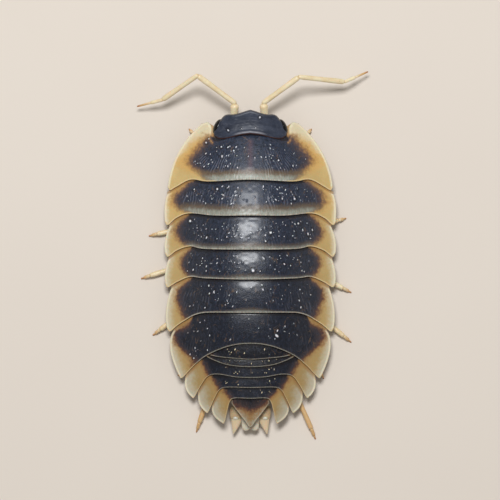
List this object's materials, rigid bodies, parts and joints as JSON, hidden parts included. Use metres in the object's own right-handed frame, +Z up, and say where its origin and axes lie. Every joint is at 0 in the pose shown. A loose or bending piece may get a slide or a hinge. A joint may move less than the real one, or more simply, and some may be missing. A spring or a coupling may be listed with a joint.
{
  "type": "woodlouse",
  "caption": "Flat oval woodlouse with overlapping dark shell plates edged in cream, angled antennae, spiked tail and legs spread beneath the shell.",
  "frame": {"origin": "on the floor under the middle of the animal, on its midline", "axes": "+X to the animal's right, +Y towards its head, +Z up from the floor"},
  "size_m": [0.0176, 0.0281, 0.0051],
  "materials": {
    "shell": "glossy wrinkled slate-blue cuticle with cream to amber margins",
    "tail": "translucent greyish-tan horn, paler at the tips",
    "limb": "translucent cream with browner claws",
    "eye": "glossy black facets"
  },
  "bodies": {
    "root": {"head": "shell", "eye_left": "eye", "eye_right": "eye", "antenna_left_base": "limb", "antenna_left_arm": "limb", "antenna_left_forearm": "limb", "antenna_left_flagellum": "limb", "antenna_right_base": "limb", "antenna_right_arm": "limb", "antenna_right_forearm": "limb", "antenna_right_flagellum": "limb", "pereonite_1": "shell", "pereonite_2": "shell", "pereonite_3": "shell", "pereonite_4": "shell", "pereonite_5": "shell", "pereonite_6": "shell", "pereonite_7": "shell", "pleonite_1": "shell", "pleonite_2": "shell", "pleonite_3": "shell", "pleonite_4": "shell", "pleonite_5": "shell", "pleotelson": "tail", "uropod_left": "tail", "uropod_right": "tail", "leg_left_1": "limb", "leg_left_2": "limb", "leg_left_3": "limb", "leg_left_4": "limb", "leg_left_5": "limb", "leg_left_6": "limb", "leg_left_7": "limb", "leg_right_1": "limb", "leg_right_2": "limb", "leg_right_3": "limb", "leg_right_4": "limb", "leg_right_5": "limb", "leg_right_6": "limb", "leg_right_7": "limb"}
  },
  "joints": []
}
